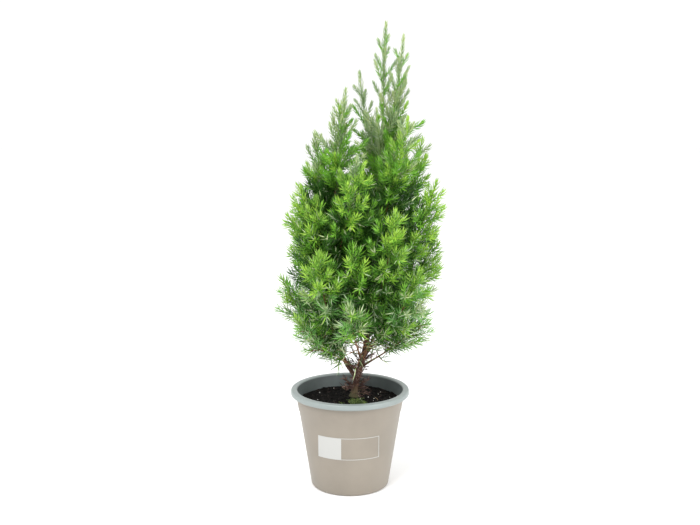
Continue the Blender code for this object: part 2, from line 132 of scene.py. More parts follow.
# The finer growth
SIDE_GAP = 0.0044
LEADER_GAP = 0.0058
LINE_STEP = 0.002
SHOOT_STEP = 0.0015
CURVE_PULL = 0.38  # how long an arched line keeps its first and last direction
AXIS_BARE = 0.1  # shares of a plume's own stem below its first needles and side shoot
SIDE_START = 0.05
EARLY = 0.003  # how far below the first needles a side shoot may start
SIDE_RISE = 0.1
TWIG_RISE = 0.08
SHRINK = (1.0, 0.82, 0.66, 0.5, 0.36)  # the lengths that a side shoot tries for want of room
UPWARD_BEND = ((0.11, 0.15), (0.13, 0.48), (0.16, 0.72), (0.23, 0.65), (0.27, 0.25))  # by height
LEADER_BEND = 0.08
BARE_HEIGHT = 0.24  # side shoots that start higher bear no twigs
TWIG_ANGLE = 35
TWIG_BEND = 0.25
TWIG_ZONE = (0.0055, 0.008)  # lengths without twigs at a side shoot's foot and tip
SIDE_FREE = 0.0015  # length without needles at a shoot's foot
TWIG_FREE = 0.0008
INNER_FREE = 0.002
# Twigs by height: the gap between them, and their greatest length
TWIG_RULE = ((0.095, 0.0078, 0.013), (0.115, 0.006, 0.0125), (0.15, 0.0036, 0.01), (0.23, 0.003, 0.009))
OVERLAP = 0.0065  # how far a plume's shoots may reach into the space of the next
RIM_ZONE = (0.034, 0.05)  # between these radii growth keeps clear of the rim
RIM_CLEAR = 0.0035
SOIL_CLEAR = 0.004

# Shaded shoots inside the crown, on the lower share of each plume and on both stems
INNER_GAP = 0.0026
STEM_GAP = 0.0018
INNER_START = 0.01
INNER_SHARE = 0.62
INNER_TIP = 0.125  # plumes whose tip is lower have none
INNER_LOWEST = 0.09
STEM_LOWEST = 0.105
STEM_NEEDLES = 0.17  # above this the stems themselves bear needles
INNER_ANGLE = (35, 65)
INNER_REACH = (0.014, 0.026)
INNER_OUT = 0.82  # how far out they reach at most, 1 being the outline
INNER_BEND = 0.5

# The photo shows sky in an oval round the stems at the crown's foot: x and z of its middle, half
# its width and height, and the share of needles that stay in it
OPEN_MIDDLE = (0.011, 0.095)
OPEN_REACH = (0.015, 0.0265)
OPEN_KEPT = 0.14

# Needles by height: length, spread in degrees, gap between whorls, width
NEEDLE_RULE = (
    (0.085, 0.0094, 56, 0.00205, 0.00066),
    (0.125, 0.0086, 50, 0.00175, 0.00068),
    (0.155, 0.008, 45, 0.00155, 0.00078),
    (0.2, 0.0073, 43, 0.00155, 0.00086),
    (0.245, 0.0064, 40, 0.00165, 0.00092),
    (0.285, 0.0049, 35, 0.0015, 0.00098),
    (0.347, 0.0044, 32, 0.0014, 0.00092),
)
CLOSING = 0.014  # length of a shoot's end over which its needles close up
CLOSED = ((0.19, 0.5), (0.27, 0.82))  # how far they close, by height
SHADE_STRETCH = 1.25  # how much longer needles are in the crown's shade
NEEDLE_BOW = 0.16  # radians that its lower part spreads wider
NEEDLE_MIDDLE = 0.42  # where it is thickest, as a share of its length
NEEDLE_KEEL = 0.42  # its depth as a share of its width
NEEDLE_ROOT = 0.7  # its root's thickness as a share of the middle's
ROOT_OUT = 0.0002
YOUNG_SHARE = 0.45  # how far up a shoot its older needles end, and how that varies
YOUNG_SPREAD = 0.12
# The share of needles whose upper side shows its white bands, by height
PALE_SHARE = ((0.1, 0.38), (0.14, 0.22), (0.19, 0.09), (0.24, 0.05), (0.3, 0.1))

# Each needle's corners are three at the root, three at the middle and the tip
NEEDLE_QUADS = np.array([(1, 0, 3, 4), (2, 1, 4, 5), (0, 2, 5, 3)])
NEEDLE_TRIS = np.array([(4, 3, 6), (5, 4, 6), (3, 5, 6), (0, 1, 2)])

# Greens of the needles, linear, and the numbers of their materials; the darkest green is painted shade for
# shoots inside the crown
LIME, MID, PAINTED_SHADE, BLUE, GREY, PALE = range(6)
GREENS = (
    ("needle_lime", (0.24, 0.46, 0.056)),
    ("needle_mid", (0.142, 0.37, 0.036)),
    # The darkest green is painted shade, for needles deep inside the crown
    ("needle_deep", (0.027, 0.102, 0.01)),
    ("needle_blue", (0.13, 0.335, 0.078)),
    ("needle_grey", (0.255, 0.375, 0.18)),
    ("needle_pale", (0.36, 0.48, 0.29)),
)
WARMER = (1.4, 1.2, 1.05)  # how a green's lightest needles differ from it
GREY_FROM = 0.24  # grey shoots begin here, and this much higher all are grey
GREY_OVER = 0.055
SHADE_TOP = 0.235  # growth above this isn't given the dark green of painted shade
BLUE_TOP = 0.165  # growth below this is mostly bluish
PAINTED_SHADE_OUT = 0.5  # shoots that end nearer the middle get the dark green of painted shade, and to the next value half so
HALF_SHADE_OUT = 0.74
EDGE_OUT = 0.8  # some low shoots further out are greyish
OUT_RAGGED = 0.12
HEIGHT_RAGGED = 0.03

# Barks: dark and light colour, fineness
BARKS = (
    ("bark_red", (0.028, 0.013, 0.009), (0.135, 0.064, 0.04), 900.0),
    ("twig_brown", (0.1, 0.05, 0.022), (0.24, 0.125, 0.055), 1500.0),
)
# Plastics: colour, roughness, scuffing
PLASTICS = (
    ("pot_taupe", (0.245, 0.215, 0.176), 0.42, 0.1),
    ("pot_rim_grey", (0.245, 0.28, 0.273), 0.38, 0.1),
    ("print_white", (0.44, 0.44, 0.425), 0.5, 0.04),
    # The inside wall is the rim's grey made darker, painted shade inside the pot
    ("pot_inner", (0.112, 0.135, 0.132), 0.5, 0.3),
)
# Plain materials: colour, roughness, how much the colour varies
PLAIN = (
    ("twig_green", (0.13, 0.24, 0.045), 0.6, 0.25),
    ("straw", (0.42, 0.3, 0.16), 0.8, 0.25),
    ("needle_brown", (0.07, 0.032, 0.026), 0.85, 0.25),
    ("needle_faded", (0.23, 0.15, 0.12), 0.85, 0.25),
    ("crumb_brown", (0.022, 0.016, 0.011), 0.95, 0.5),
    ("crumb_white", (0.62, 0.6, 0.55), 0.9, 0.15),
    ("moss_old", (0.04, 0.07, 0.015), 0.9, 0.5),
    ("moss_young", (0.17, 0.23, 0.055), 0.8, 0.4),
)
PEAT = ((0.38, (0.002, 0.0018, 0.0015)), (0.58, (0.006, 0.0052, 0.0044)), (0.76, (0.026, 0.021, 0.017)))
ALGAE = (0.058, 0.058, 0.022)
ALGAE_FULL = 0.0745  # algae cover the bark up to here, and end raggedly at the next height
ALGAE_END = 0.088
ALGAE_RAGGED = 0.016
YOUNG_HEIGHT = 0.225  # the stems are green above this

# Radii at foot and tip
AXIS_RADII = (0.00075, 0.0003)
TWIG_RADII = (0.00042, 0.0002)
DEAD_RADII = (0.00042, 0.00022)
DEAD_TWIGS = 46
DEAD_NEEDLES = 9

# The print on the pot: piece, left and right edge as seen from the front, lower and upper edge
PRINT = (
    ("print_block", -0.0235, -0.0065, 0.03, 0.0475),
    ("print_frame_1", -0.0065, 0.0215, 0.0471, 0.0475),
    ("print_frame_2", -0.0065, 0.0215, 0.03, 0.0304),
    ("print_frame_3", 0.0211, 0.0215, 0.0304, 0.0471),
)
PRINT_COLUMNS = 14
PRINT_ROWS = 3
PRINT_DEPTHS = (-0.00002, 0.00014)
POT_SIDES = 144
DRAIN_SIDES = 24
DRAIN_TURN = 0.29  # of the way from one hole to the next
SHARP_ANGLE = radians(30)
EDGE_ROUND = 0.0004

# Soil: bumps as layer of the noise, fineness and height, and the rings of its mesh
SOIL_BUMPS = ((0.3, 110, 0.0016), (1.7, 320, 0.0009), (4.1, 900, 0.0005))
LEVEL_RADIUS = 0.005  # level round the stem's foot, and lumpy this much further out
LEVEL_EDGE = 0.006
SOIL_EDGE = 0.0018  # how much lower the soil is at the wall
SOIL_RINGS = 46
SOIL_SIDES = 132
SOIL_LOWER = (0.04, 0.021, FLOOR + CLEAR)
DARK_CRUMBS = 1500
WHITE_CRUMBS = 32
STRAWS = 26
LUMP_CORNERS = np.array([(1, 0, 0), (-1, 0, 0), (0, 1, 0), (0, -1, 0), (0, 0, 1), (0, 0, -1)], float)
LUMP_TRIS = np.array([(0, 2, 4), (2, 1, 4), (1, 3, 4), (3, 0, 4), (2, 0, 5), (1, 2, 5), (3, 1, 5), (0, 3, 5)])
# Tufts of moss: middle x and y, reach, height, number of shoots
MOSS_TUFTS = (
    (0.006, -0.0125, 0.0058, 0.0036, 420),
    (0.002, -0.005, 0.0034, 0.0024, 120),
    (0.0085, -0.002, 0.0026, 0.002, 60),
    (-0.0065, -0.01, 0.0022, 0.0012, 40),
)


def between(table, height, column=1):
    """A column's value at a height, from rows that begin with their heights."""
    if height <= table[0][0]:
        return table[0][column]
    for low, high in zip(table, table[1:]):
        if height <= high[0]:
            return low[column] + (high[column] - low[column]) * (height - low[0]) / (high[0] - low[0])
    return table[-1][column]


class Line:
    """A centre line as evenly spaced points, read by distance along it."""

    def __init__(self, points, step=LINE_STEP):
        lengths = [0.0]
        for a, b in zip(points, points[1:]):
            lengths.append(lengths[-1] + (b - a).length)
        count = max(4, round(lengths[-1] / step))
        self.length = lengths[-1]
        self.points = []
        k = 0
        for i in range(count + 1):
            s = self.length * i / count
            while k < len(lengths) - 2 and lengths[k + 1] < s:
                k += 1
            share = (s - lengths[k]) / (lengths[k + 1] - lengths[k])
            self.points.append(points[k].lerp(points[k + 1], min(1.0, share)))

    def at(self, s):
        place = max(0.0, min(1.0, s / self.length)) * (len(self.points) - 1)
        i = min(int(place), len(self.points) - 2)
        return self.points[i].lerp(self.points[i + 1], place - i)

    def direction(self, s):
        reach = self.length / (len(self.points) - 1)
        return (self.at(min(self.length, s + reach)) - self.at(max(0.0, s - reach))).normalized()

    def at_height(self, z):
        low, high = 0.0, self.length
        for _ in range(30):
            mid = (low + high) / 2
            low, high = (mid, high) if self.at(mid).z < z else (low, mid)
        return low


def smooth_line(stops):
    """A Catmull-Rom curve through the stops."""
    padded = [stops[0] * 2 - stops[1], *stops, stops[-1] * 2 - stops[-2]]
    parts = 12
    points = []
    for p0, p1, p2, p3 in zip(padded, padded[1:], padded[2:], padded[3:]):
        for i in range(parts):
            t = i / parts
            points.append(0.5 * (2 * p1 + (p2 - p0) * t + (2 * p0 - 5 * p1 + 4 * p2 - p3) * t * t
                                 + (3 * p1 - p0 - 3 * p2 + p3) * t * t * t))
    return Line([*points, stops[-1].copy()])


def arched_line(start, leave, arrive, tip, step=LINE_STEP):
    """A limb that leaves start along one direction and reaches its tip along another."""
    span = (tip - start).length
    p1, p2 = start + leave * span * CURVE_PULL, tip - arrive * span * CURVE_PULL
    parts = 24
    points = []
    for i in range(parts + 1):
        t = i / parts
        u = 1 - t
        points.append(start * u ** 3 + p1 * 3 * u * u * t + p2 * 3 * u * t * t + tip * t ** 3)
    return Line(points, step)


def tilted(azimuth, elevation):
    rise = radians(elevation)
    return Vector((cos(azimuth) * cos(rise), sin(azimuth) * cos(rise), sin(rise)))


def turned_up(aim, by):
    return (aim + Vector((0, 0, by))).normalized()


def square_to(direction):
    side = direction.orthogonal().normalized()
    return side, direction.cross(side).normalized()


def branching(along, turn, angle):
    """A direction that leaves another at an angle, turned this far round it."""
    first, second = square_to(along)
    side = first * cos(turn) + second * sin(turn)
    return along * cos(angle) + side * sin(angle)


# A plume's line starts in the middle of its stem
Limb = namedtuple("Limb", "name line bare lone shoot")


def outer_limb(k, stems, rng):
    """One outer plume of the spiral."""
    up = k / (OUTER_COUNT - 1)
    turn = FIRST_TURN + SPIRAL * k + rng.uniform(-0.1, 0.1)
    tip_z, foot_z, leave, arrive, bare, shoot = (between(OUTER_RULE, up, c) for c in range(1, 7))
    bare = bare if foot_z < DIRECT_HEIGHT else 0.0
    tip_z += rng.uniform(-0.004, 0.004)
    reach = between(CROWN_RADIUS, tip_z) * rng.uniform(0.94, 1.0) - TIP_INSET
    middle = between(CROWN_MIDDLE, tip_z)
    tip = Vector((middle + reach * cos(turn), reach * sin(turn), tip_z))
    stem = stems["second_stem" if cos(turn) < SECOND_SIDE and foot_z > SECOND_LOWEST else "trunk"]
    start = stem.at(stem.at_height(foot_z))
    out = atan2(tip.y - start.y, tip.x - start.x)
    line = arched_line(start, tilted(out, leave), tilted(out, arrive), tip)
    return Limb(f"plume_{k + 1:02d}", line, bare, LONE_TIP, shoot)


def placed_limb(name, stem, base_z, tip):
    """One inner plume or leader."""
    foot = stem.length if base_z is None else stem.at_height(base_z)
    start = stem.at(foot)
    out = atan2(tip.y - start.y, tip.x - start.x)
    leader = name.startswith("leader")
    leave, arrive = LEADER_RISE if leader else PLUME_RISE
    along = stem.direction(foot) if base_z is None else tilted(out, leave)
    line = arched_line(start, along, tilted(out, arrive), tip)
    return Limb(name, line, 0.0, *((LONE_LEADER, LEADER_SHOOT) if leader else (LONE_TIP, INNER_SHOOT)))


def plan_limbs(stems):
    """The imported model's limbs, by its own rule."""
    rng = random.Random(40)
    limbs = [outer_limb(k, stems, rng) for k in range(OUTER_COUNT)]
    for name, (stem, base_z, tip) in PLUMES.items():
        limbs.append(placed_limb(name, stems[stem], base_z, Vector(tip)))
    return limbs


def in_opening(points):
    """Whether points lie in the gap that the photo shows round the foot of the stems."""
    x = (points[..., 0] - OPEN_MIDDLE[0]) / OPEN_REACH[0]
    z = (points[..., 2] - OPEN_MIDDLE[1]) / OPEN_REACH[1]
    return x * x + z * z < 1


class Room:
    """Where a plume's shoots may grow: near its own line, clear of the pot, the soil and the opening."""

    def __init__(self, limbs):
        self.owners = [limb.name for limb in limbs for _ in limb.line.points]
        points = [p for limb in limbs for p in limb.line.points]
        self.tree = kdtree.KDTree(len(points))
        for i, p in enumerate(points):
            self.tree.insert(p, i)
        self.tree.balance()
        self.own = {limb.name: np.array([tuple(p) for p in limb.line.points]) for limb in limbs}

    def allows(self, owner, point):
        over_rim = RIM_ZONE[0] < hypot(point.x, point.y) < RIM_ZONE[1]
        lowest = POT_HEIGHT + RIM_CLEAR if over_rim else SOIL_TOP + SOIL_CLEAR
        if point.z < lowest or in_opening(np.array(point)):
            return False
        _, index, distance = self.tree.find(point)
        if self.owners[index] == owner:
            return True
        mine = np.sqrt(((self.own[owner] - np.array(point)) ** 2).sum(1).min())
        return mine < distance + OVERLAP

    def tip_for(self, owner, root, aim, length):
        """The tip of a shoot, cut short until it has room, or None."""
        for share in SHRINK:
            tip = root + aim * length * share
            if self.allows(owner, tip):
                return tip
        return None


# Needles begin at start. An axis is a plume's own stem, and a shaded shoot stands inside the crown
Shoot = namedtuple("Shoot", "line start tier axis shaded", defaults=(False, False))


def piece_of(name):
    """The piece that a plume's needles go into."""
    kind, number = name.split("_")
    return kind if kind != "plume" else f"outer_{(int(number) + 3) // 4}"


def grow_plume(limb, room, seed):
    """All of a plume's shoots: its own axis, the side shoots and their twigs."""
    rng = random.Random(seed)
    line, tier = limb.line, piece_of(limb.name)
    start = limb.bare * line.length
    visible = line.length - start
    bare_end = start + visible * AXIS_BARE
    while not room.allows(limb.name, line.at(bare_end)):
        bare_end += 0.002
    shoots = [Shoot(line, bare_end, tier, axis=True)]
    leader = tier == "leader"
    growth, lean = (LEADER_GROWTH, LEADER_ANGLE) if leader else (SHOOT_GROWTH, SHOOT_ANGLE)
    count = max(6, round(visible / (LEADER_GAP if leader else SIDE_GAP)))
    first_s = start + visible * SIDE_START
    turn = rng.uniform(0, 2 * pi)
    for k in range(count):
        s = first_s + (line.length - limb.lone - first_s) * k / (count - 1)
        turn += SPIRAL + rng.uniform(-0.15, 0.15)
        angle = radians(lean + rng.uniform(-8, 9))
        longest = limb.shoot * min(1.0, 0.65 + (s - start) / visible)
        full = min(longest, SHOOT_LEAST + growth * (line.length - s)) * rng.uniform(0.78, 1.05)
        root = line.at(s)
        aim = turned_up(branching(line.direction(s), turn, angle), SIDE_RISE)
        tip = room.tip_for(limb.name, root, aim, full)
        if s < bare_end - EARLY or tip is None:
            continue
        bend = LEADER_BEND if leader else between(UPWARD_BEND, root.z)
        curve = arched_line(root, aim, turned_up(aim, bend), tip, SHOOT_STEP)
        shoots.append(Shoot(curve, SIDE_FREE, tier))
        if root.z < BARE_HEIGHT:
            shoots += grow_twigs(limb.name, curve, room, rng, tier)
    return shoots


def grow_twigs(name, parent, room, rng, tier):
    """Short twigs all round one side shoot, shorter towards its tip."""
    twigs = []
    turn = rng.uniform(0, 2 * pi)
    s = TWIG_ZONE[0]
    while s < parent.length - TWIG_ZONE[1]:
        root = parent.at(s)
        angle = radians(TWIG_ANGLE + rng.uniform(-5, 5))
        aim = turned_up(branching(parent.direction(s), turn, angle), TWIG_RISE)
        longest = min(between(TWIG_RULE, root.z, 2), 0.0015 + SHOOT_GROWTH * (parent.length - s))
        length = longest * rng.uniform(0.8, 1.1)
        tip = root + aim * length
        if room.allows(name, tip):
            curve = arched_line(root, aim, turned_up(aim, TWIG_BEND), tip, SHOOT_STEP)
            twigs.append(Shoot(curve, TWIG_FREE, tier))
        s += between(TWIG_RULE, root.z) * rng.uniform(0.85, 1.15)
        turn += SPIRAL
    return twigs


def out_in_crown(point):
    """How far out a point lies: 0 on the crown's middle line, 1 at its outline."""
    across = point.x - between(CROWN_MIDDLE, point.z)
    return hypot(across, point.y) / between(CROWN_RADIUS, point.z)


def grow_inside(line, start, end, gap, tier, rng):
    """Short shaded shoots along a limb inside the crown."""
    shoots = []
    turn = rng.uniform(0, 2 * pi)
    s = start
    while s < end:
        turn += SPIRAL
        aim = branching(line.direction(s), turn, radians(rng.uniform(*INNER_ANGLE)))
        root = line.at(s)
        tip = root + aim * rng.uniform(*INNER_REACH)
        if tip.z > INNER_LOWEST and out_in_crown(tip) < INNER_OUT:
            curve = arched_line(root, aim, turned_up(aim, INNER_BEND), tip, SHOOT_STEP)
            shoots.append(Shoot(curve, INNER_FREE, tier, shaded=True))
        s += gap * rng.uniform(0.7, 1.3)
    return shoots


def grow_all(stems, limbs):
    """Every shoot that bears needles."""
    room = Room(limbs)
    shoots = []
    for number, limb in enumerate(limbs):
        shoots += grow_plume(limb, room, 100 + number)
    rng = random.Random(61)
    for stem in stems.values():
        shoots += grow_inside(stem, stem.at_height(STEM_LOWEST), stem.length, STEM_GAP, "stems", rng)
        shoots.append(Shoot(stem, stem.at_height(STEM_NEEDLES), "stems", shaded=True))
    for limb in limbs:
        line = limb.line
        if line.at(line.length).z > INNER_TIP and not limb.name.startswith("leader"):
            shoots += grow_inside(line, INNER_START, line.length * INNER_SHARE, INNER_GAP, "inside", rng)
    return shoots


MATERIALS = {}


def link_object(name, data, materials=()):
    """Puts an object with this data into the scene, and gives it materials by their names."""
    for material in materials:
        data.materials.append(MATERIALS[material])
    made = bpy.data.objects.new(name, data)
    bpy.context.scene.collection.objects.link(made)
    return made


class Mesh:
    """Vertices and faces gathered as arrays, then made into one object."""

    def __init__(self):
        self.vertices, self.quads, self.tris = [], [], []
        self.quad_slots, self.tri_slots = [], []
        self.count = 0

    def add(self, vertices, quads, tris, quad_slots=0, tri_slots=0):
        self.vertices.append(vertices)
        self.quads.append(quads + self.count)
        self.tris.append(tris + self.count)
        self.quad_slots.append(np.broadcast_to(quad_slots, len(quads)))
        self.tri_slots.append(np.broadcast_to(tri_slots, len(tris)))
        self.count += len(vertices)

    def build(self, name, materials, smooth=False):
        faces = np.concatenate(self.quads).tolist() + np.concatenate(self.tris).tolist()
        mesh = bpy.data.meshes.new(name)
        mesh.from_pydata(np.concatenate(self.vertices), [], faces)
        obj = link_object(name, mesh, materials)
        slots = np.concatenate([*self.quad_slots, *self.tri_slots]).astype(np.int32)
        mesh.polygons.foreach_set("material_index", slots)
        mesh.polygons.foreach_set("use_smooth", np.full(len(faces), smooth))
        return obj


def unit(vectors):
    return vectors / np.linalg.norm(vectors, axis=-1, keepdims=True)


def swung(ahead, side, angle):
    """Directions that lie at an angle from ahead towards side."""
    return ahead * np.cos(angle)[..., None] + side * np.sin(angle)[..., None]


def whorl_sides(along, rng):
    """The three outward directions of each whorl, which is turned half a step from the last."""
    first = unit(np.cross(along, np.array([0.31, 0.87, 0.38])))
    second = np.cross(along, first)
    n = len(along)
    turns = rng.uniform(0, 6.28) + np.arange(n)[:, None] * pi / 3
    turns = turns + np.arange(3)[None, :] * 2 * pi / 3 + rng.normal(0, 0.18, (n, 3))
    return swung(first[:, None], second[:, None], turns)


def needle_corners(root, ahead, side, spread, length, width, rng):
    """Seven corners of each needle, the last one its tip."""
    aim = swung(ahead, side, spread)
    bowed = swung(ahead, side, spread + NEEDLE_BOW)
    across = unit(np.cross(ahead, side))
    keel = np.cross(aim, across)
    keel = keel * np.sign((keel * side).sum(-1, keepdims=True) + 1e-9)
    across = across * np.sign((np.cross(across, keel) * aim).sum(-1, keepdims=True))
    across = across * (width / 2 * rng.uniform(0.85, 1.1, (*length.shape, 1)))
    keel = keel * (width * NEEDLE_KEEL)
    middle = root + bowed * length[..., None] * NEEDLE_MIDDLE
    tip = root + aim * length[..., None]
    return np.stack([root + across * NEEDLE_ROOT, root - across * NEEDLE_ROOT, root + keel * NEEDLE_ROOT,
                     middle + across, middle - across, middle + keel, tip], axis=2)


def add_needles(mesh, corners, slots, bands):
    """Closed three-sided needles with a material each, and one for the band on the upper side."""
    offsets = np.arange(len(corners))[:, None, None] * 7
    quads = (NEEDLE_QUADS[None] + offsets).reshape(-1, 4)
    tris = (NEEDLE_TRIS[None] + offsets).reshape(-1, 3)
    quad_slots = np.stack([bands, slots, slots], 1).ravel()
    tri_slots = np.stack([bands, slots, slots, slots], 1).ravel()
    mesh.add(corners.reshape(-1, 3), quads, tris, quad_slots, tri_slots)


def needles_on(shoot, rng, mesh):
    """Whorls of three needles up one shoot, closing up towards its tip."""
    line, reach = shoot.line, shoot.line.length - shoot.start
    shoot_tip = line.at(line.length)
    full, spread, gap, width = (between(NEEDLE_RULE, shoot_tip.z, c) for c in (1, 2, 3, 4))
    stations = np.arange(shoot.start, line.length, gap)
    n = len(stations)
    if n < 2:
        return
    along = unit(np.array([tuple(line.direction(s)) for s in stations]))
    share = (stations - shoot.start) / reach
    closing = np.clip(1 - (line.length - stations) / min(CLOSING, reach), 0, 1)
    side = whorl_sides(along, rng)
    closed = between(CLOSED, shoot_tip.z)
    spread = np.radians(spread * (1 - closed * closing[:, None] ** 1.6) + rng.normal(0, 5.0, (n, 3)))
    spindle = np.clip(0.62 + 1.1 * share, 0, 1) * np.clip(0.66 + 0.9 * (1 - closing), 0, 1)
    full *= SHADE_STRETCH if shoot.shaded else 1.0
    length = full * spindle[:, None] * rng.uniform(0.84, 1.08, (n, 3))
    root = np.array([tuple(line.at(s)) for s in stations])[:, None] + side * ROOT_OUT
    corners = needle_corners(root, along[:, None], side, spread, length, width, rng)
    total = n * 3
    kept = ~(in_opening(root) | in_opening(corners[:, :, -1])).ravel() | (rng.random(total) < OPEN_KEPT)
    older, younger = greens_for(shoot, shoot_tip, rng)
    slots = np.where(np.repeat(share, 3) + rng.normal(0, YOUNG_SPREAD, total) > YOUNG_SHARE, younger, older)
    bands = np.where(rng.random(total) < between(PALE_SHARE, shoot_tip.z), PALE, slots)
    add_needles(mesh, corners.reshape(total, 7, 3)[kept], slots[kept], bands[kept])


def greens_for(shoot, tip, rng):
    """Greens of a shoot's older and younger needles, by its height and its depth in the crown; deep inside it
    gets a dark green that is painted shade.
    """
    pick, chance = rng.random(2)
    out = out_in_crown(tip)
    ragged = OUT_RAGGED * (pick - 0.5)
    if chance < (tip.z - GREY_FROM) / GREY_OVER:
        return (GREY, GREY) if pick < 0.6 else (MID, GREY)
    # Shaded shoots and those deep inside the crown get the darkest green: painted shade
    if shoot.shaded or out < PAINTED_SHADE_OUT + ragged:
        return (PAINTED_SHADE, PAINTED_SHADE) if tip.z < SHADE_TOP else (MID, MID)
    if out < HALF_SHADE_OUT + ragged and tip.z < SHADE_TOP:
        return PAINTED_SHADE, MID
    if tip.z > BLUE_TOP + HEIGHT_RAGGED * (pick - 0.5):
        return MID, LIME
    if out > EDGE_OUT and pick < 0.4:
        return BLUE, GREY
    if pick < 0.5:
        return BLUE, BLUE
    return (BLUE, MID) if pick < 0.78 else (MID, LIME)


def tapered(radii, end, start=0.0):
    """A tube's radius, which changes evenly from one end to the other."""
    return lambda s: radii[0] + (radii[1] - radii[0]) * (s - start) / (end - start)


def closed_faces(sides, rings):
    """Quads and triangles of a closed body of rings, whose last two vertices are its poles."""
    k = np.arange(sides)
    ahead = (k + 1) % sides
    band = np.stack([k, ahead, sides + ahead, sides + k], 1)
    quads = (band[None] + sides * np.arange(rings - 1)[:, None, None]).reshape(-1, 4)
    last, pole = (rings - 1) * sides, np.full(sides, rings * sides)
    caps = [np.stack([ahead, k, pole], 1), np.stack([last + k, last + ahead, pole + 1], 1)]
    return quads, np.concatenate(caps)


def tube_into(mesh, line, start, end, radius_at, sides, rings, slot_at, relief=None):
    """A closed tube along a line, its surface raised or sunk by relief(point, s, turn) if given."""
    stations = [start + (end - start) * n / (rings - 1) for n in range(rings)]
    vertices = []
    side = square_to(line.direction(start))[0]
    for s in stations:
        along = line.direction(s)
        side = (side - along * side.dot(along)).normalized()
        other = along.cross(side)
        for k in range(sides):
            turn = 2 * pi * k / sides
            out = side * cos(turn) + other * sin(turn)
            spot = line.at(s) + out * radius_at(s)
            if relief:
                spot += out * relief(spot, s, turn)
            vertices.append(tuple(spot))
    vertices += [tuple(line.at(start)), tuple(line.at(end))]
    quads, caps = closed_faces(sides, rings)
    slots = np.array([slot_at(s) for s in stations[:-1]])
    cap_slots = np.repeat([slots[0], slots[-1]], sides)
    mesh.add(np.array(vertices), quads, caps, np.repeat(slots, sides), cap_slots)


# Materials

class Material:
    """A Principled material, and short ways to add nodes to it."""

    def __init__(self, name, **inputs):
        made = bpy.data.materials.new(name)
        made.use_nodes = True
        self.tree = made.node_tree
        self.shader = self.tree.nodes["Principled BSDF"]
        self.surface(**inputs)
        MATERIALS[name] = made

    def fill(self, node, inputs):
        """Gives a node's inputs their values, or links them to other nodes' outputs."""
        for key, value in inputs.items():
            if isinstance(value, bpy.types.NodeSocket):
                self.tree.links.new(value, node.inputs[key])
            else:
                node.inputs[key].default_value = value

    def surface(self, **inputs):
        """Fills the shader's inputs, named with _ for each space."""
        self.fill(self.shader, {key.replace("_", " "): value for key, value in inputs.items()})

    def node(self, kind, inputs, **settings):
        node = self.tree.nodes.new("ShaderNode" + kind)
        for key, value in settings.items():
            setattr(node, key, value)
        self.fill(node, inputs)
        return node

    def place(self):
        return self.node("TexCoord", {}).outputs["Object"]

    def noise(self, scale, detail, rough=0.55):
        inputs = {"Vector": self.place(), "Scale": scale, "Detail": detail, "Roughness": rough}
        return self.node("TexNoise", inputs).outputs["Fac"]

    def ramp(self, source, *stops):
        """Colours at places along a value."""
        node = self.node("ValToRGB", {"Fac": source})
        elements = node.color_ramp.elements
        while len(elements) < len(stops):
            elements.new(0.5)
        for element, (place, colour) in zip(elements, stops):
            element.position = place
            element.color = (*colour, 1.0)
        return node.outputs["Color"]

    def bump(self, height, strength, distance):
        bump = self.node("Bump", {"Strength": strength, "Distance": distance, "Height": height})
        self.surface(Normal=bump.outputs["Normal"])


def shade(colour, by):
    return tuple(min(1.0, c * by) for c in colour)


def needle_material(name, colour):
    """Waxy green that varies from needle to needle and in soft patches."""
    made = Material(name, Roughness=0.42, Specular_IOR_Level=0.35)
    patches = made.node("Math", {0: made.noise(55.0, 2.0), 1: 0.9}, operation="MULTIPLY")
    island = made.node("NewGeometry", {}).outputs["Random Per Island"]
    mix = made.node("Math", {0: island, 1: 0.45, 2: patches.outputs[0]}, operation="MULTIPLY_ADD")
    warm = tuple(c * by for c, by in zip(colour, WARMER))
    ramp = made.ramp(mix.outputs[0], (0.28, shade(colour, 0.58)), (0.58, colour), (0.86, warm))
    made.surface(Base_Color=ramp)


def bark_material(name, dark, light, scale):
    """Flaky bark, with a film of green algae where it stands on the soil."""
    made = Material(name, Roughness=0.85)
    grain = made.noise(scale, 6.0, 0.65)
    bark = made.ramp(grain, (0.34, dark), (0.52, light), (0.72, shade(light, 1.5)))
    height = made.node("SeparateXYZ", {0: made.place()}).outputs["Z"]
    patches = made.noise(260.0, 4.0, 0.6)
    ragged = made.node("Math", {0: patches, 1: ALGAE_RAGGED, 2: height}, operation="MULTIPLY_ADD")
    above = made.node("MapRange", {"Value": ragged.outputs[0], "From Min": ALGAE_FULL, "From Max": ALGAE_END})
    # 6 and 7 are the two colours, 2 is the mixed one
    mix = made.node("Mix", {}, data_type="RGBA")
    made.fill(mix, {"Factor": above.outputs["Result"], 6: (*ALGAE, 1.0), 7: bark})
    made.surface(Base_Color=mix.outputs[2])
    made.bump(grain, 0.6, 0.0004)


def plastic_material(name, colour, roughness, scuff):
    """Moulded plastic with faint mottling, fine texture and a little dust."""
    made = Material(name)
    cloud = made.noise(38.0, 5.0, 0.6)
    dark, light = shade(colour, 1 - scuff), shade(colour, 1 + scuff * 0.7)
    made.surface(Base_Color=made.ramp(cloud, (0.3, dark), (0.55, colour), (0.8, light)),
                 Roughness=made.ramp(cloud, (0.3, (roughness - 0.06,) * 3), (0.7, (roughness + 0.1,) * 3)))
    made.bump(made.noise(1400.0, 2.0), 0.08, 0.0001)


def peat_material():
    made = Material("peat_damp", Roughness=0.92, Specular_IOR_Level=0.12)
    crumbs = made.noise(700.0, 8.0, 0.7)
    made.surface(Base_Color=made.ramp(crumbs, *PEAT))
    made.bump(crumbs, 0.9, 0.0012)


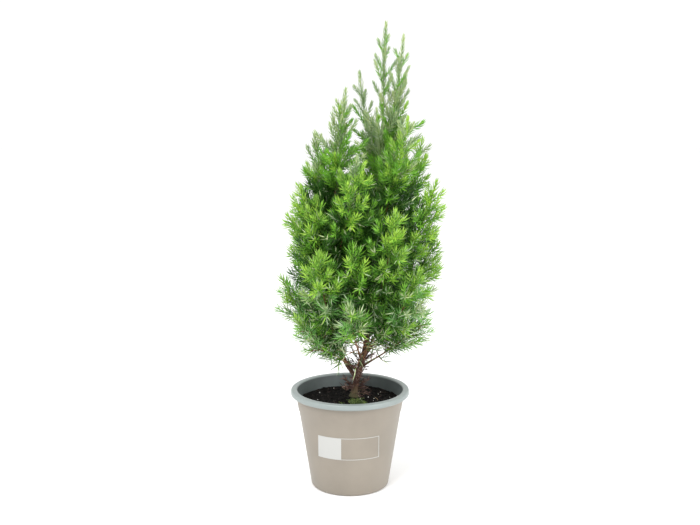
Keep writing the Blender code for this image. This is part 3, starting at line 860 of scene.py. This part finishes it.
def plain_material(name, colour, roughness, vary):
    made = Material(name, Roughness=roughness)
    ramp = made.ramp(made.noise(500.0, 3.0), (0.3, shade(colour, 1 - vary)), (0.7, shade(colour, 1 + vary)))
    made.surface(Base_Color=ramp)


def make_materials():
    for make, table in ((needle_material, GREENS), (bark_material, BARKS), (plastic_material, PLASTICS),
                        (plain_material, PLAIN)):
        for row in table:
            make(*row)
    peat_material()


# Pot

def ring_at(radius, z, sides):
    """Points evenly round the pot's axis."""
    turns = [2 * pi * k / sides for k in range(sides)]
    return [(radius * cos(turn), radius * sin(turn), z) for turn in turns]


def wall_radius(z):
    straight = FOOT_RADIUS + (NECK_RADIUS - FOOT_RADIUS) * z / (POT_HEIGHT - COLLAR_DEPTH)
    return straight if z > POT_HEIGHT - BAND_DEPTH else straight - BAND_STEP


def inner_profile():
    """Heights and radii of the inner wall."""
    band = POT_HEIGHT - BAND_DEPTH
    return ((FLOOR, wall_radius(FLOOR) - WALL), (band, wall_radius(band) - WALL),
            (POT_HEIGHT - COLLAR_EDGE / 2, MOUTH_RADIUS))


def arc(cx, cz, radius, a0, a1, count):
    """Points on an arc of the profile, from one angle to another in degrees."""
    angles = [radians(a0 + (a1 - a0) * i / count) for i in range(count + 1)]
    return [(cx + radius * cos(angle), cz + radius * sin(angle)) for angle in angles]


def revolved(name, profile, sides, materials=(), slot_at=lambda number: 0):
    """A closed turned body; slot_at(number) gives the material number of each band of faces."""
    (_, z0), *rings, (_, z1) = profile
    vertices = [point for radius, z in rings for point in ring_at(radius, z, sides)]
    quads, caps = closed_faces(sides, len(rings))
    slots = np.repeat([slot_at(number) for number in range(len(rings) - 1)], sides)
    mesh = Mesh()
    mesh.add(np.array([*vertices, (0, 0, z0), (0, 0, z1)]), quads, caps, slots,
             np.repeat([slots[0], slots[-1]], sides))
    obj = mesh.build(name, materials)
    obj.data.shade_smooth()
    obj.data.set_sharp_from_angle(angle=SHARP_ANGLE)
    return obj


def make_pot():
    """The pot with a rounded collar, its shallow step, flat underside and drain holes."""
    collar, band = POT_HEIGHT - COLLAR_DEPTH, POT_HEIGHT - BAND_DEPTH
    outer = [(0, 0), (wall_radius(0) - FOOT_CHAMFER, 0), (wall_radius(0) - EDGE_ROUND, EDGE_ROUND)]
    outer += [(wall_radius(z), z) for z in (FOOT_CHAMFER, 0.02, 0.04)]
    outer += [(wall_radius(band), band - BAND_STEP), (wall_radius(band) + BAND_STEP, band + BAND_STEP)]
    outer += [(NECK_RADIUS, collar - EDGE_ROUND), (NECK_RADIUS + EDGE_ROUND, collar)]
    lip = [(RIM_RADIUS - 2 * EDGE_ROUND, collar), (RIM_RADIUS, collar + 2 * EDGE_ROUND)]
    lip += arc(RIM_RADIUS - COLLAR_EDGE, POT_HEIGHT - COLLAR_EDGE, COLLAR_EDGE, 0, 90, 6)
    inward = COLLAR_EDGE * 0.8
    lip += arc(MOUTH_RADIUS + inward, POT_HEIGHT - inward, inward, 90, 180, 5)
    inside = [(radius, z) for z, radius in reversed(inner_profile()[:-1])]
    rim_from, inner_from = len(outer) - 2, len(outer) + len(lip) - 2
    # Taupe outside, grey rim, and a darker grey inside that is painted shade
    pot = revolved("pot_shell", [*outer, *lip, *inside, (0, FLOOR)], POT_SIDES,
                   ("pot_taupe", "pot_rim_grey", "pot_inner"),
                   lambda number: (number >= rim_from) + (number >= inner_from))
    for k in range(DRAIN_COUNT):
        drill_hole(pot, 2 * pi * (k + DRAIN_TURN) / DRAIN_COUNT)
    return pot


def drill_hole(pot, turn):
    """Cuts one drain hole through the floor."""
    profile = ((0, -0.002), (DRAIN_RADIUS, -0.002), (DRAIN_RADIUS, 0.004), (0, 0.004))
    drill = revolved("drill", profile, DRAIN_SIDES)
    drill.location = (DRAIN_RING * cos(turn), DRAIN_RING * sin(turn), 0)
    boolean = pot.modifiers.new("hole", "BOOLEAN")
    boolean.operation = "DIFFERENCE"
    boolean.object = drill
    bpy.context.view_layer.update()
    made = bpy.data.meshes.new_from_object(pot.evaluated_get(bpy.context.evaluated_depsgraph_get()))
    pot.modifiers.clear()
    pot.data = made
    bpy.data.objects.remove(drill, do_unlink=True)


def sheet(grid):
    """Quads between the vertices of a grid."""
    return np.stack([grid[:-1, :-1], grid[1:, :-1], grid[1:, 1:], grid[:-1, 1:]], -1).reshape(-1, 4)


def printed_patch(name, x0, x1, z0, z1):
    """A patch of print that follows the wall's curve."""
    vertices = []
    for depth in PRINT_DEPTHS:
        for i in range(PRINT_COLUMNS + 1):
            for j in range(PRINT_ROWS + 1):
                z = z0 + (z1 - z0) * j / PRINT_ROWS
                r = wall_radius(z) + depth
                a0, a1 = asin(x0 / r), asin(x1 / r)
                turn = a0 + (a1 - a0) * i / PRINT_COLUMNS
                vertices.append((r * sin(turn), -r * cos(turn), z))
    number = np.arange(len(vertices)).reshape(2, PRINT_COLUMNS + 1, PRINT_ROWS + 1)
    mesh = Mesh()
    mesh.add(np.array(vertices), np.concatenate([
        sheet(number[0].T), sheet(number[1]), sheet(number[:, :, 0].T), sheet(number[:, :, -1]),
        sheet(number[:, 0]), sheet(number[:, -1].T)]), np.zeros((0, 3), int))
    return mesh.build(name, ["print_white"])


# Soil

def soil_height(x, y):
    """The soil's lumpy top, level round the stem's foot and a little lower at the wall."""
    away = min(1.0, max(0.0, (hypot(x - FOOT.x, y - FOOT.y) - LEVEL_RADIUS) / LEVEL_EDGE))
    bumps = sum(noise.noise(Vector((x, y, layer)) * fine) * high for layer, fine, high in SOIL_BUMPS)
    return SOIL_TOP + away * (bumps - 0.0004 - 0.001 * (hypot(x, y) / 0.038) ** 4)


def make_soil():
    """The root ball: it fills the pot, with a finely broken surface."""
    edge = between(inner_profile(), SOIL_TOP) - CLEAR
    vertices = []
    for r in range(1, SOIL_RINGS):
        vertices += [(x, y, soil_height(x, y)) for x, y, _ in ring_at(edge * r / SOIL_RINGS, 0.0, SOIL_SIDES)]
    vertices += ring_at(edge, SOIL_TOP - SOIL_EDGE, SOIL_SIDES)
    for z in SOIL_LOWER:
        vertices += ring_at(between(inner_profile(), z) - CLEAR, z, SOIL_SIDES)
    vertices += [(0.0, 0.0, soil_height(0, 0)), (0.0, 0.0, FLOOR + CLEAR)]
    quads, caps = closed_faces(SOIL_SIDES, SOIL_RINGS + len(SOIL_LOWER))
    mesh = Mesh()
    mesh.add(np.array(vertices), quads[:, [0, 3, 2, 1]], caps[:, ::-1])
    return mesh.build("soil_ball", ["peat_damp"], smooth=True)


def lump(rng, centre, size, squash, mesh, slot):
    """One crumb: a rough closed pebble with eight faces."""
    corners = LUMP_CORNERS * (size * rng.uniform(0.6, 1.25, (6, 1)))
    corners[:, 2] *= squash
    turn = rng.uniform(0, 6.28)
    spin = np.array([(cos(turn), -sin(turn), 0), (sin(turn), cos(turn), 0), (0, 0, 1)])
    mesh.add(corners @ spin.T + centre, np.zeros((0, 4), int), LUMP_TRIS, tri_slots=slot)


def soil_spot(rng, margin=0.0015):
    """A random place on the soil."""
    edge = between(inner_profile(), SOIL_TOP) - margin
    radius, turn = edge * sqrt(rng.random()), rng.uniform(0, 2 * pi)
    x, y = radius * cos(turn), radius * sin(turn)
    return x, y, soil_height(x, y)


def make_crumbs():
    rng = np.random.default_rng(5)
    mesh = Mesh()
    for _ in range(DARK_CRUMBS):
        x, y, z = soil_spot(rng)
        lump(rng, (x, y, z + 0.0001), rng.uniform(0.0003, 0.001), 0.7, mesh, int(rng.random() >= 0.86))
    for _ in range(WHITE_CRUMBS):
        x, y, z = soil_spot(rng)
        lump(rng, (x, y, z + 0.0004), rng.uniform(0.0003, 0.0007), 0.9, mesh, 2)
    return mesh.build("soil_crumbs", ["peat_damp", "crumb_brown", "crumb_white"])


def spike_into(mesh, root, tip, width, slot):
    """A thin closed straw or needle lying or standing on its own."""
    root, tip = Vector(root), Vector(tip)
    first, second = square_to((tip - root).normalized())
    corners = []
    for place, size in ((root, 0.6), (root.lerp(tip, 0.5), 1.0)):
        for k in range(3):
            turn = 2 * pi * k / 3
            out = first * cos(turn) + second * sin(turn)
            corners.append(tuple(place + out * width / 2 * size))
    corners.append(tuple(tip))
    mesh.add(np.array(corners), NEEDLE_QUADS[:, ::-1], NEEDLE_TRIS[:, ::-1], slot, slot)


def make_litter():
    """Fallen needles, straws and fibres on the soil."""
    rng = np.random.default_rng(8)
    mesh = Mesh()
    for number in range(STRAWS):
        x, y, z = soil_spot(rng, 0.004)
        turn, length = rng.uniform(0, 6.28), rng.uniform(0.003, 0.0075)
        dx, dy = cos(turn) * length / 2, sin(turn) * length / 2
        low = max(soil_height(x - dx, y - dy), soil_height(x + dx, y + dy), z)
        tip = (x + dx, y + dy, low + rng.uniform(0.0002, 0.0012))
        slot = 0 if number % 4 == 0 else 1
        spike_into(mesh, (x - dx, y - dy, low + 0.0003), tip, rng.uniform(0.0002, 0.00045), slot)
    return mesh.build("soil_litter", ["straw", "needle_brown"])


def make_moss():
    """Moss at the stem's foot: a thick tuft in front and thinner ones beside it."""
    rng = np.random.default_rng(3)
    mesh = Mesh()
    for cx, cy, reach, tall, count in MOSS_TUFTS:
        for _ in range(count):
            turn, radius = rng.uniform(0, 6.28), reach * rng.random() ** 0.7
            x, y = cx + radius * cos(turn) * 1.25, cy + radius * sin(turn) * 0.8
            z = soil_height(x, y)
            lean = rng.normal(0, tall * 0.3, 2)
            high = tall * rng.uniform(0.5, 1.0) * (1.1 - radius / reach)
            tip = (x + lean[0], y + lean[1], z + high)
            spike_into(mesh, (x, y, z - 0.0002), tip, 0.0005, int(rng.random() < 0.4))
    return mesh.build("soil_moss", ["moss_old", "moss_young"])


# Wood

def bark_relief(spot, s, turn):
    """Flaky bark: long ridges with shallow cracks between."""
    ridges = noise.noise(Vector((cos(turn) * 1.7, sin(turn) * 1.7, s * 140)))
    flakes = noise.noise(spot * 900)
    return 0.00022 * ridges + 0.00016 * flakes


def make_stems(trunk, second):
    """Both stems, with flaky bark low down and smooth green shoots in their youngest part."""
    mesh = Mesh()
    plain_radius = tapered(TRUNK_RADII, trunk.length)
    second_radius = tapered(SECOND_RADII, second.length)

    def trunk_radius(s):
        return plain_radius(s) + (FLARE_RADIUS - TRUNK_RADII[0]) * max(0.0, 1 - s / FLARE_HEIGHT) ** 2

    def trunk_relief(spot, s, turn):
        return bark_relief(spot, s, turn) * min(1.3, 0.5 + s / 0.004)

    for line, radius_at, sides, rings, relief in ((trunk, trunk_radius, 22, 190, trunk_relief),
                                                  (second, second_radius, 16, 130, bark_relief)):
        young = line.at_height(YOUNG_HEIGHT)
        tube_into(mesh, line, 0.0, line.length, radius_at, sides, rings, lambda s: int(s > young), relief)
    return mesh.build("stem_bark", ["bark_red", "twig_green"], smooth=True)


def make_boughs(limbs):
    """The bare part of each limb."""
    mesh = Mesh()
    for limb in limbs:
        end = limb.bare * limb.line.length
        tube_into(mesh, limb.line, 0.0, end + 0.001, tapered(BOUGH_RADII, end), 10, 26, lambda s: 0,
                  lambda spot, s, turn: bark_relief(spot, s, turn) * 0.6)
    return mesh.build("bough_bark", ["bark_red"], smooth=True)


def make_twigs(shoots, limbs):
    """Woody axes of the plumes, brown low down and green towards their tips."""
    mesh = Mesh()
    for limb in limbs:
        line = limb.line
        start = limb.bare * line.length
        young = start + (line.length - start) * 0.55
        tube_into(mesh, line, start, line.length - 0.001, tapered(AXIS_RADII, line.length, start), 6, 22,
                  lambda s: int(s > young or line.at(s).z > YOUNG_HEIGHT))
    for shoot in shoots:
        if not shoot.axis:
            reach = shoot.line.length
            green_from = 0.0 if shoot.line.at(reach).z > 0.13 else reach * 0.5
            tube_into(mesh, shoot.line, 0.0, reach - 0.0006, tapered(TWIG_RADII, reach), 4, 5,
                      lambda s: int(s >= green_from))
    return mesh.build("twigs", ["twig_brown", "twig_green"])


def make_dead_twigs(trunk):
    """Short bare and browned twigs round the stem's foot."""
    rng = random.Random(21)
    numbers = np.random.default_rng(21)
    mesh = Mesh()
    for k in range(DEAD_TWIGS):
        root = trunk.at(rng.uniform(0.003, 0.03))
        aim = tilted(k * 2.4 + rng.uniform(-0.4, 0.4), rng.uniform(-5, 60))
        reach = rng.uniform(0.005, 0.014)
        line = arched_line(root, aim, turned_up(aim, 0.3), root + aim * reach, SHOOT_STEP)
        tube_into(mesh, line, 0.0, reach * 0.98, tapered(DEAD_RADII, reach), 4, 6, lambda s: 0)
        for m in range(DEAD_NEEDLES):
            s = reach * (0.3 + 0.7 * m / (DEAD_NEEDLES - 1))
            side = Vector(numbers.normal(0, 1, 3)).normalized()
            out = (line.direction(s) + side * 0.9).normalized()
            tip = line.at(s) + out * rng.uniform(0.0035, 0.006)
            spike_into(mesh, line.at(s), tip, 0.0006, 1 if rng.random() < 0.7 else 2)
    return mesh.build("dead_twigs", ["bark_red", "needle_brown", "needle_faded"])


# The photo's light and view

def light(name, place, energy, side):
    """A square soft light that shines on the plant's middle."""
    data = bpy.data.lights.new(name, "AREA")
    data.energy = energy
    data.shape = "RECTANGLE"
    data.size = side
    data.size_y = side
    lamp = link_object(name, data)
    lamp.location = place
    lamp.rotation_euler = (Vector((0, 0, 0.15)) - Vector(place)).to_track_quat("-Z", "Y").to_euler()


def make_studio():
    """Pale floor, a white surround, one large soft key and a weaker fill."""
    mesh = bpy.data.meshes.new("floor")
    mesh.from_pydata([(-6, -6, 0), (6, -6, 0), (6, 6, 0), (-6, 6, 0)], [], [(0, 1, 2, 3)])
    Material("floor_pale", Base_Color=(0.95, 0.95, 0.945, 1), Roughness=0.8)
    floor = link_object("floor", mesh, ["floor_pale"])
    floor.location.z = -0.0002
    world = bpy.data.worlds.new("surround")
    world.use_nodes = True
    background = world.node_tree.nodes["Background"]
    background.inputs["Color"].default_value = (1, 1, 1, 1)
    background.inputs["Strength"].default_value = 1.06
    scene = bpy.context.scene
    scene.world = world
    scene.view_settings.view_transform = "Standard"
    scene.view_settings.look = "None"
    light("key", (-0.9, -1.3, 1.7), 34, 1.1)
    light("fill", (1.4, -0.9, 0.8), 17, 1.2)


def make_camera():
    data = bpy.data.cameras.new("camera")
    data.lens = 50.0
    data.sensor_width = 36.0
    camera = link_object("camera", data)
    camera.location = (0.0, -0.7175, 0.288)
    camera.rotation_euler = (Vector((0, 0, 0.172)) - camera.location).to_track_quat("-Z", "Y").to_euler()
    bpy.context.scene.camera = camera


# Building it all

def finish_piece(obj, slot, *nodes):
    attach(obj, "root")
    if nodes:
        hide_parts(*nodes)


def make_needles(shoots, limbs):
    """One piece of needles for each group of plumes, and for the shaded shoots."""
    for number, tier in enumerate(sorted({shoot.tier for shoot in shoots})):
        mesh = Mesh()
        rng = np.random.default_rng(70 + number)
        for shoot in shoots:
            if shoot.tier == tier:
                needles_on(shoot, rng, mesh)
        obj = mesh.build("needles_" + tier, [name for name, _ in GREENS])
        finish_piece(obj, "needles", *[limb.name for limb in limbs if piece_of(limb.name) == tier])


def main():
    stems = {"trunk": smooth_line(TRUNK_LINE), "second_stem": smooth_line(SECOND_LINE)}
    limbs = plan_limbs(stems)
    shoots = grow_all(stems, limbs)
    make_materials()
    make_needles(shoots, limbs)
    finish_piece(make_twigs(shoots, limbs), "bark")
    finish_piece(make_stems(*stems.values()), "bark", *stems)
    boughs = [limb for limb in limbs if limb.bare]
    finish_piece(make_boughs(boughs), "bark", *[f"bough_{k + 1:02d}" for k in range(len(boughs))])
    finish_piece(make_dead_twigs(stems["trunk"]), "bark")
    finish_piece(make_pot(), "pot", "pot")
    for patch in PRINT:
        finish_piece(printed_patch(*patch), "pot")
    finish_piece(make_soil(), "peat", "soil")
    for make in (make_crumbs, make_litter, make_moss):
        finish_piece(make(), "peat")
    make_studio()
    make_camera()


main()
